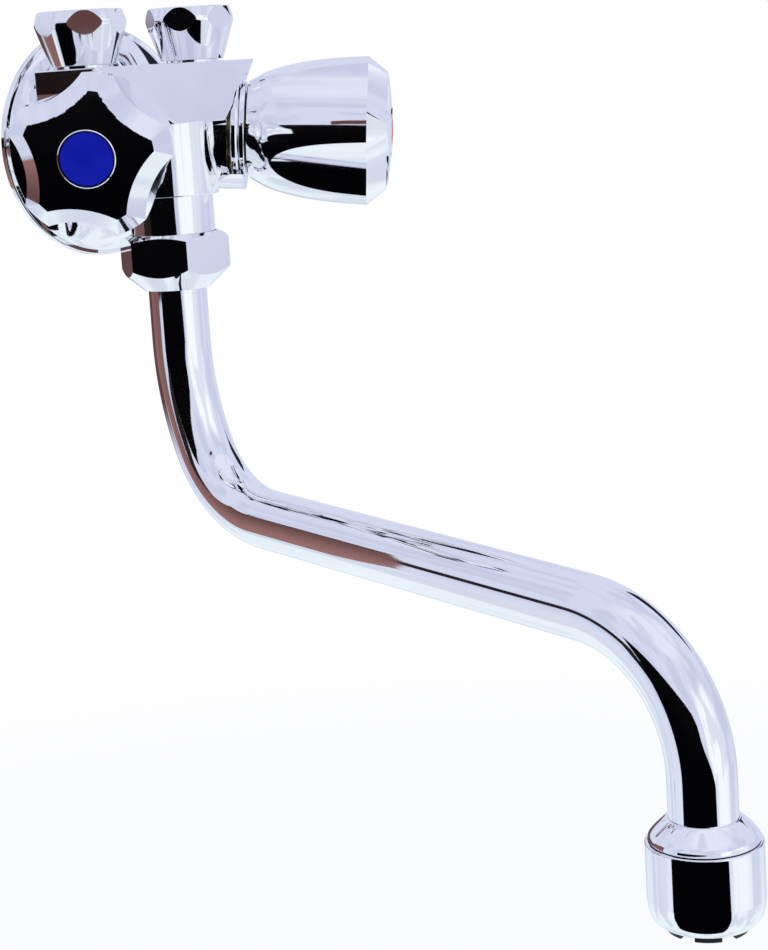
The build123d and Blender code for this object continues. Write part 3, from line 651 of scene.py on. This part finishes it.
def makeOutletCone():
    bore, neck, bottom = cone["boreRadius"], cone["neckRadius"], cone["bottom"]
    made = lathe("outletCone", rounded([
        (bore, cone["top"]), *smoothCurve(cone["flare"]), (cone["footRadius"], bottom), (neck, bottom),
        (neck, cone["neckEnd"], cone["neckEdge"]), (bore, cone["neckEnd"]), (bore, cone["top"]),
    ]), steps=128)
    move(made, outletAxis)
    finishPiece(made, "spout", tubeChrome, ["outlet_cone"], angle=40)


makeOutletCone()

housing = {
    "radius": 0.0151, "top": -0.1796, "topEdge": 0.0005, "boreRadius": 0.01205, "ledge": -0.1993,
    "bowl": [(0.0151, -0.1938), (0.0149, -0.1965), (0.0143, -0.1988), (0.0132, -0.2004), (0.0118, -0.2013)],
    "bottom": -0.2014, "bottomRadius": 0.0114, "mouthRadius": 0.011, "mouthEdge": 0.0002,
}


def makeHousing():
    bore, mouth = housing["boreRadius"], housing["mouthRadius"]
    top, bottom = housing["top"], housing["bottom"]
    made = lathe("aeratorHousing", rounded([
        (bore, top), (housing["radius"], top, housing["topEdge"]), *smoothCurve(housing["bowl"]),
        (housing["bottomRadius"], bottom), (mouth, bottom, housing["mouthEdge"]), (mouth, housing["ledge"]),
        (bore, housing["ledge"]), (bore, top),
    ]), steps=144)
    move(made, outletAxis)
    finishPiece(made, "spout", tubeChrome, ["aerator_housing"], angle=50)


makeHousing()

insert = {
    "radius": 0.0117, "top": -0.1898, "foot": -0.1992, "rimRadius": 0.0106, "rimInner": 0.0086,
    "bottom": -0.203, "edge": 0.0003,
    "teeth": 6, "firstNotch": 8.1, "notchDepth": 0.005, "notchWidth": 0.0041, "notchHeight": 0.002,
    "jetRings": ((6, 0.0026), (10, 0.006)), "jetRadius": 0.0009, "jetLength": 0.012, "jetSides": 24,
}


def makeInsert():
    top, foot, bottom, edge = insert["top"], insert["foot"], insert["bottom"], insert["edge"]
    made = lathe("aeratorInsert", rounded([
        (0, top), (insert["radius"], top, edge), (insert["radius"], foot), (insert["rimRadius"], foot),
        (insert["rimRadius"], bottom, edge), (insert["rimInner"], bottom, edge), (insert["rimInner"], foot),
        (0, foot),
    ]), steps=120)
    rimMiddle = (insert["rimRadius"] + insert["rimInner"]) / 2
    notchMiddle = bottom + (insert["notchHeight"] - cutMargin) / 2
    clearSelection()
    bpy.ops.mesh.primitive_cube_add(size=1, location=(rimMiddle, 0, notchMiddle))
    notch = bpy.context.object
    notch.scale = (insert["notchDepth"], insert["notchWidth"], insert["notchHeight"] + cutMargin)
    applyPlace()
    first, teeth = radians(insert["firstNotch"]), insert["teeth"]
    carveCopies(made, notch, [Matrix.Rotation(first + 2 * pi * k / teeth, 4, "Z") for k in range(teeth)])
    middle, half = (top + foot) / 2, insert["jetLength"] / 2
    jet = rod(insert["jetRadius"], (0, 0, middle - half), (0, 0, middle + half), insert["jetSides"])
    innerRing, outerRing = insert["jetRings"]
    carveCopies(made, jet, ringOf(*innerRing) + ringOf(*outerRing))
    move(made, outletAxis)
    finishPiece(made, "spout", finishes["black_plastic"], ["aerator_insert"], angle=40)


makeInsert()
print("spout ready")

# wall rosette: pressed sheet with a rolled step at the rim
rosette = {
    "radius": 0.0363, "lip": 0.002, "step": 0.0016, "crown": 0.018, "height": 0.0078, "bulge": 0.0014,
    "sheet": 0.0009, "bore": 0.0108775, "shoulder": 0.0006,
    "lipEdge": 0.0005, "stepEdge": 0.0002, "boreEdge": 0.0003,
}


def arcThrough(first, middle, last, steps=16):
    a, b, c = Vector(first), Vector(middle), Vector(last)
    d = 2 * (a.x * (b.y - c.y) + b.x * (c.y - a.y) + c.x * (a.y - b.y))
    squareA, squareB, squareC = a.length_squared, b.length_squared, c.length_squared
    centre = Vector((
        (squareA * (b.y - c.y) + squareB * (c.y - a.y) + squareC * (a.y - b.y)) / d,
        (squareA * (c.x - b.x) + squareB * (a.x - c.x) + squareC * (b.x - a.x)) / d,
    ))
    start, end = a - centre, c - centre
    turn = start.angle_signed(end)
    path = []
    for k in range(steps + 1):
        spoke = start.copy()
        spoke.rotate(Matrix.Rotation(-turn * k / steps, 2))
        path.append(tuple(centre + spoke))
    return path


def makeRosette():
    radius, lip, sheet, bore = rosette["radius"], rosette["lip"], rosette["sheet"], rosette["bore"]
    crown, height, shoulder = rosette["crown"], rosette["height"], rosette["shoulder"]
    stepRadius, middle = radius - rosette["step"], (radius + crown) / 2
    front = arcThrough(
        (stepRadius - shoulder, lip + shoulder), (middle, height - rosette["bulge"]), (crown, height)
    )
    back = arcThrough(
        (crown, height - sheet), (middle - shoulder / 2, height - rosette["bulge"] - sheet),
        (stepRadius - 2 * shoulder, lip - shoulder / 2),
    )
    made = lathe("wallRosette", rounded([
        (radius - sheet, 0), (radius, 0), (radius, lip, rosette["lipEdge"]),
        (stepRadius, lip, rosette["stepEdge"]), *front,
        (bore, height, rosette["boreEdge"]), (bore, height - sheet), *back,
        (radius - sheet, lip - sheet), (radius - sheet, 0),
    ]), steps=192)
    move(made, wallAxis)
    finishPiece(made, "tap_body", tubeChrome, ["wall_rosette"], angle=40)


makeRosette()
print("rosette ready")

# casting: head with a leaning front and undercut corners, two valve bosses, neck and wall inlet
casting = {
    "halfWidth": 0.0309, "top": 0.0225, "bottom": 0.0044, "front": -0.0432, "rear": -0.0128, "lean": 27,
    "cornerRound": 0.0115, "cornerSegments": 24, "cornerReach": 0.0413, "cornerLean": 25, "blankFront": -0.06,
    "bossRadius": 0.0164, "bossHang": 0.0022, "bossEnd": 0.0329, "lipEnd": 0.0376, "lipLevel": -0.0135,
    "chipSize": 0.05,  # of the cube that cuts away what is above the tongue, wide enough to clear the boss
    "pocket": [(0, 0.0316), (0.0154, 0.0316), (0.0162, 0.0433), (0, 0.0433)],
    "bore": [(0, 0), (0.0055, 0), (0.0055, 0.0118), (0.007, 0.0118), (0.007, 0.011), (0.0093, 0.011),
             (0.0093, 0.016), (0.0105275, 0.016), (0.0105275, 0.033), (0, 0.033)],
    "neck": [(0, 0.006), (0.015, 0.006), (0.015, -0.0175, 0.0004), (0.013, -0.0175), (0.013, -0.0301),
             (0.0132205, -0.0301), (0.0132205, -0.0394, 0.0004), (0, -0.0394)],
    "neckBore": [(0, -0.04), (0.011, -0.04), (0.011, -0.0215), (0.007, -0.0215), (0.007, -0.0052),
                 (0, -0.0052)],
    "inlet": [(0, 0.0171), (0.0135, 0.0171), (0.0135, 0.0082, 0.0006), (0.0099, 0.0082), (0.0099, 0.003),
              (0.0104775, 0.003), (0.0104775, -0.014, 0.0005), (0, -0.014)],
    "inletBoreRadius": 0.007, "inletBoreStart": -0.015, "inletBoreEnd": 0.0082,
    "portX": 0.021, "portY": -0.0247, "portSink": 0.002, "portTop": 0.0332, "portRadius": 0.008331,
    "portBores": ((0.00515, 0.0205), (0.004, 0.0135)), "portBoreTop": 0.034,
    "chamber": 0.0135, "waterRadius": 0.003, "drillLevel": 0.0165, "edge": 0.0005,
    "outerSides": 160, "inletSides": 144, "boreSides": 96, "portBoreSides": 64, "waterSides": 40,
}


def sliced(made, point, normal):
    # drops what lies on the side the normal points to
    selectOnly(made)
    editAll()
    bpy.ops.mesh.bisect(plane_co=point, plane_no=normal, use_fill=True, clear_outer=True)
    bpy.ops.object.mode_set(mode="OBJECT")
    return made


def makeHead():
    low, high, top, bottom = casting["blankFront"], casting["rear"], casting["top"], casting["bottom"]
    clearSelection()
    bpy.ops.mesh.primitive_cube_add(size=1, location=(0, (low + high) / 2, (top + bottom) / 2))
    made = bpy.context.object
    made.name = "casting"
    made.scale = (2 * casting["halfWidth"], high - low, top - bottom)
    applyPlace()
    # the two lower edges that run from front to back are rounded
    bpy.ops.object.mode_set(mode="EDIT")
    bpy.ops.mesh.select_mode(type="EDGE")
    bpy.ops.mesh.select_all(action="DESELECT")
    bpy.ops.object.mode_set(mode="OBJECT")
    for edge in made.data.edges:
        first, second = (made.data.vertices[place].co for place in edge.vertices)
        isLow = max(first.z, second.z) < bottom + onPlane
        edge.select = isLow and abs(first.y - second.y) > onPlane
    bpy.ops.object.mode_set(mode="EDIT")
    bpy.ops.mesh.bevel(offset=casting["cornerRound"], segments=casting["cornerSegments"])
    bpy.ops.object.mode_set(mode="OBJECT")
    lean, under = radians(casting["lean"]), radians(casting["cornerLean"])
    sliced(made, (0, casting["front"], top), (0, -cos(lean), sin(lean)))
    for side in sides.values():
        flat = Vector((side * sqrt(0.5), -sqrt(0.5), 0))
        corner = Vector((0, axes["valveY"], top)) + flat * casting["cornerReach"]
        sliced(made, corner, flat * cos(under) - Vector((0, 0, sin(under))))
    return soften(made, casting["edge"], angle=20, segments=4)


def makeBoss():
    # the lower boss runs on as a tongue; all above the tongue is cut away
    radius, hang, end = casting["bossRadius"], -casting["bossHang"], casting["bossEnd"]
    made = rod(radius, (0, hang, 0), (0, hang, casting["lipEnd"]), casting["outerSides"])
    chip = casting["chipSize"]
    clearSelection()
    bpy.ops.mesh.primitive_cube_add(size=chip, location=(0, casting["lipLevel"] + chip / 2, end + chip / 2))
    carve(made, bpy.context.object)
    carve(made, rod(radius, (0, 0, 0), (0, 0, end), casting["outerSides"]), how="UNION")
    return soften(made, casting["edge"], angle=40, segments=3)


def waterways():
    # straight drillings: inlet to where the valve axes meet, cold chamber to neck, hot chamber up and
    # across to the right port, left port across and down to the neck
    level, water = casting["drillLevel"], casting["waterRadius"]
    portX, portY = casting["portX"], casting["portY"]
    cold, hot = (valveAxis(side) @ Vector((0, 0, casting["chamber"])) for side in sides.values())
    riser = Vector((hot.x, hot.y, level))
    mixing = Vector((0, axes["spoutY"], casting["neckBore"][-1][1] - water))
    fall = Vector((0, axes["spoutY"] + water, level))
    runs = (
        ((0, -casting["inletBoreEnd"], 0), (0, axes["valveY"], axes["valveZ"])), (cold, mixing), (hot, riser),
        (riser, (portX, portY, level)), ((-portX, portY, level), fall), (fall, mixing),
    )
    return [rod(water, start, end, casting["waterSides"]) for start, end in runs]


def makeCasting():
    made = makeHead()
    outerSides, boreSides, portY = casting["outerSides"], casting["boreSides"], casting["portY"]
    boss = makeBoss()
    for side in sides.values():
        placed = sliced(copied(boss, valveAxis(side)), (0, casting["rear"], 0), (0, 1, 0))
        carve(made, placed, how="UNION")
    bpy.data.objects.remove(boss)
    neck = move(lathe("neck", rounded(casting["neck"]), outerSides), spoutAxis)
    inlet = move(lathe("inlet", rounded(casting["inlet"]), casting["inletSides"]), wallAxis)
    carve(made, neck, inlet, how="UNION")
    for side in sides.values():
        x = side * casting["portX"]
        start, end = (x, portY, casting["top"] - casting["portSink"]), (x, portY, casting["portTop"])
        carve(made, rod(casting["portRadius"], start, end, boreSides), how="UNION")
    pocket = lathe("pocket", casting["pocket"], outerSides)
    carveCopies(made, pocket, [valveAxis(side) for side in sides.values()])
    carve(made, move(lathe("neckBore", casting["neckBore"], boreSides), spoutAxis))
    start, end = (0, -casting["inletBoreStart"], 0), (0, -casting["inletBoreEnd"], 0)
    carve(made, rod(casting["inletBoreRadius"], start, end, boreSides))
    for side in sides.values():
        carve(made, move(lathe("bore", casting["bore"], boreSides), valveAxis(side)))
        for radius, low in casting["portBores"]:
            x = side * casting["portX"]
            end = (x, portY, casting["portBoreTop"])
            carve(made, rod(radius, (x, portY, low), end, casting["portBoreSides"]))
    carve(made, *waterways())
    finishPiece(made, "tap_body", castChrome, ["body"], angle=30)


makeCasting()
print("casting ready")

# camera fitted to the photograph
shot = {
    "place": (-0.40055, -0.54565, 0.01724),
    "right": (0.71634, -0.69503, -0.06158), "up": (0.14981, 0.06700, 0.98644),
    "focalPixels": 2091.2, "centreRow": 390.0, "pixels": (768, 950), "sensor": 36.0, "nearest": 0.01,
}
bpy.ops.object.camera_add(location=shot["place"])
camera = bpy.context.object
camera.name = "studio camera"
rightAxis, upAxis, rows = Vector(shot["right"]), Vector(shot["up"]), shot["pixels"][1]
turned = Matrix((rightAxis, upAxis, rightAxis.cross(upAxis))).transposed().to_4x4()
camera.matrix_world = Matrix.Translation(shot["place"]) @ turned
camera.data.sensor_width = shot["sensor"]
camera.data.lens = shot["focalPixels"] * shot["sensor"] / rows
camera.data.shift_y = (shot["centreRow"] - rows / 2) / rows
camera.data.clip_start = shot["nearest"]
bpy.context.scene.camera = camera

# studio: a pale room painted by direction; spans are degrees of azimuth or elevation over which a paint fades
studio = {
    "centre": (0, -0.05, -0.04), "toCamera": (-0.6894, -0.7243, 0), "toRight": (0.7243, -0.6894, 0),
    "lavender": (0.7, 0.74, 0.9), "white": (1.0, 1.0, 1.0),
    "window": (0.98, 1.03, 1.07), "windowSides": ((21, 27), (96, 72)), "windowTop": (38, 26),
    "ceiling": (0.8, 0.83, 0.96), "ceilingSides": ((-80, -40), (130, 90)), "ceilingFoot": (48, 56),
    "ground": (0.86, 0.95, 1.0), "groundTop": (-14, -30),
    "dusk": (0.5, 0.54, 0.72), "duskScale": 3.0, "duskSpan": (0.46, 0.62), "duskShare": 0.45,
    "behind": (0.12, 0.06, 0.062), "behindSides": ((-112, -118), (-180, -172)),
    "behindEnds": ((4, 0), (-16, -11)),
}
world = bpy.data.worlds.new("studio room")
bpy.context.scene.world = world
world.use_nodes = True
shader = Shader(world.node_tree)
direction = shader.node("TexCoord", output=0)
height = shader.node("SeparateXYZ", sockets={0: direction}, output=2)
ahead = shader.node("VectorMath", {"operation": "DOT_PRODUCT"}, {0: direction, 1: studio["toCamera"]}, 1)
aside = shader.node("VectorMath", {"operation": "DOT_PRODUCT"}, {0: direction, 1: studio["toRight"]}, 1)
azimuth = aside.math("ARCTAN2", ahead) * (180 / pi)
elevation = height.math("ARCSINE") * (180 / pi)


def between(value, spans):
    first, second = spans
    return shader.band(value, *first) * shader.band(value, *second)


def painted(room, mask, name):
    return shader.blend(mask, room, colour(*studio[name]))


inWindow = between(azimuth, studio["windowSides"]) * shader.band(elevation, *studio["windowTop"])
overhead = shader.band(elevation, *studio["ceilingFoot"]) * between(azimuth, studio["ceilingSides"])
cloud = shader.band(shader.noise(direction, studio["duskScale"], detail=1.0), *studio["duskSpan"])
behind = between(azimuth, studio["behindSides"]) * between(elevation, studio["behindEnds"])
room = shader.blend(inWindow, colour(*studio["lavender"]), colour(*studio["window"]))
room = painted(room, overhead, "ceiling")
room = painted(room, shader.band(elevation, *studio["groundTop"]), "ground")
room = painted(room, cloud * studio["duskShare"], "dusk")
room = painted(room, behind, "behind")
room = painted(room, shader.node("LightPath"), "white")  # what the camera itself sees
sky = shader.node("Background", sockets={"Color": room, "Strength": 1.0})
shader.node("OutputWorld", sockets={"Surface": sky})

# cards that only the plating mirrors; low and high are the paint at the foot and top levels.
# With a distance the outline is in degrees of azimuth and elevation as seen from the tap, with an x it is
# in (y, z) on an upright plane, and otherwise its points are places
cards = {
    "black card": {  # in front of the tap and below it
        "distance": 1.2, "low": (0.001, 0.001, 0.002), "high": (0.002, 0.0015, 0.002),
        "outline": [
            (-56, 12.5), (-57, -2), (-66, -5), (-66, -9), (-61, -12), (-66, -28), (-66, -60),
            (40, -60), (40, -28), (35, -20), (28, -14), (21, -9.5), (16, -6), (13, -2), (12.5, 4.5),
            (8, 9.5), (-2, 12.5),
        ],
    },
    "dark grey card": {  # just before the left part of the black one
        "distance": 1.19, "low": (0.012, 0.011, 0.012), "high": (0.014, 0.012, 0.013),
        "outline": [(-62, -12), (-67, -28), (-67, -45), (-37, -45), (-37, -28), (-38, -12)],
    },
    "thin dark card": {  # a level strip to the left
        "distance": 1.1, "low": (0.02, 0.015, 0.015), "high": (0.02, 0.015, 0.015),
        "outline": [(-57, 2), (-95, 2), (-95, -6), (-57, -6)],
    },
    "near brown card": {  # small, close before the cold handle
        "low": (0.12, 0.05, 0.045), "high": (0.12, 0.05, 0.045),
        "outline": [
            (-0.108, -0.1635, 0.0345), (-0.108, -0.1635, 0.052),
            (-0.072, -0.1805, 0.052), (-0.072, -0.1805, 0.0345),
        ],
    },
    "far dark card": {  # high up behind the tap, to the right
        "distance": 1.2, "low": (0.006, 0.007, 0.012), "high": (0.015, 0.018, 0.03),
        "outline": [(121, 12), (123, 23), (137, 31), (148, 33), (150, 12)],
    },
    "dark side card": {  # to the left, behind the wall's plane
        "x": -0.34, "low": (0.012, 0.007, 0.007), "high": (0.012, 0.007, 0.007),
        "outline": [(0.3, -0.012), (0.3, 0.045), (0.56, 0.045), (0.56, -0.012)],
    },
    "brown card": {  # behind the dark side card, much larger
        "x": -0.35, "low": (0.33, 0.17, 0.16), "high": (0.1, 0.05, 0.05), "levels": (-0.35, 0.12),
        "outline": [
            (0.2, 0.03), (0.18, -0.06), (0.19, -0.16), (0.23, -0.26), (0.31, -0.35), (0.4, -0.43),
            (0.55, -0.43), (0.7, -0.24), (1.6, -0.3), (1.6, 0.1), (0.6, 0.03),
        ],
    },
}
cardLevels = (-0.3, 0.1)


def toward(azimuth, elevation, distance):
    # azimuth from the direction of the camera, positive to the right of the picture
    a, e = radians(azimuth), radians(elevation)
    level = Vector(studio["toCamera"]) * cos(a) + Vector(studio["toRight"]) * sin(a)
    return Vector(studio["centre"]) + distance * (level * cos(e) + Vector((0, 0, 1)) * sin(e))


def cardPoints(look):
    if "distance" in look:
        return [toward(*point, look["distance"]) for point in look["outline"]]
    if "x" in look:
        return [(look["x"], *point) for point in look["outline"]]
    return look["outline"]


def makeCard(name, look):
    bpy.ops.object.select_all(action="DESELECT")
    bpy.ops.mesh.primitive_circle_add(vertices=len(look["outline"]), fill_type="NGON")
    made = bpy.context.object
    made.name = name
    for vertex, point in zip(made.data.vertices, cardPoints(look)):
        vertex.co = point
    paint, shader = newMaterial(name)
    height = shader.node("SeparateXYZ", sockets={0: shader.place()}, output=2)
    rise = shader.band(height, *look.get("levels", cardLevels))
    tint = shader.blend(rise, colour(*look["low"]), colour(*look["high"]))
    glow = shader.node("Emission", sockets={"Color": tint, "Strength": 1.0})
    shader.node("OutputMaterial", sockets={"Surface": glow})
    made.data.materials.append(paint)
    made.visible_camera = False
    made.visible_diffuse = False
    made.visible_shadow = False


for name, look in cards.items():
    makeCard(name, look)

# a floor that only keeps a shadow: to the camera it fades to white away from the middle
floorLook = {
    "y": -0.1, "z": -0.34, "size": 8.0, "tint": (0.9, 0.905, 0.93), "grain": (0.93, 0.93, 0.95),
    "grainScale": 9.0, "fade": (0.3, 0.75), "whiteShare": (0.78, 1.0),
}
bpy.ops.object.select_all(action="DESELECT")
bpy.ops.mesh.primitive_plane_add(size=floorLook["size"], location=(0, floorLook["y"], floorLook["z"]))
floor = bpy.context.object
floor.name = "pale floor"
paint, shader = newMaterial("pale floor")
cameraRay = shader.node("LightPath")
spot = shader.place()
away = shader.node("VectorMath", {"operation": "LENGTH"}, {0: spot}, 1)
grain = shader.noise(spot, floorLook["grainScale"], detail=3.0)
tint = shader.blend(grain, colour(*floorLook["tint"]), colour(*floorLook["grain"]))
diffuse = shader.node("BsdfDiffuse", sockets={"Color": tint})
glow = shader.node("Emission", sockets={"Color": colour(*studio["white"]), "Strength": 1.0})
share = shader.band(away, *floorLook["fade"], *floorLook["whiteShare"])
surface = shader.node("MixShader", sockets={0: cameraRay * share, 1: diffuse, 2: glow})
shader.node("OutputMaterial", sockets={"Surface": surface})
floor.data.materials.append(paint)
floor.visible_glossy = False

lamps = {
    "key lamp": {"place": (0.5, -0.9, 0.9), "power": 4.0},
    "fill lamp": {"place": (-0.9, -0.4, 0.6), "power": 2.0},
}
lampAim = (0, -0.06, -0.04)
lampSize = 0.6
for name, lamp in lamps.items():
    bpy.ops.object.light_add(type="AREA", location=lamp["place"])
    made = bpy.context.object
    made.name = name
    made.data.shape = "RECTANGLE"
    made.data.size = made.data.size_y = lampSize
    made.data.energy = lamp["power"]
    made.rotation_mode = "QUATERNION"
    made.rotation_quaternion = (Vector(lamp["place"]) - Vector(lampAim)).to_track_quat("Z", "Y")
    made.visible_glossy = False
bpy.context.scene.view_settings.view_transform = "Standard"
print("studio ready")
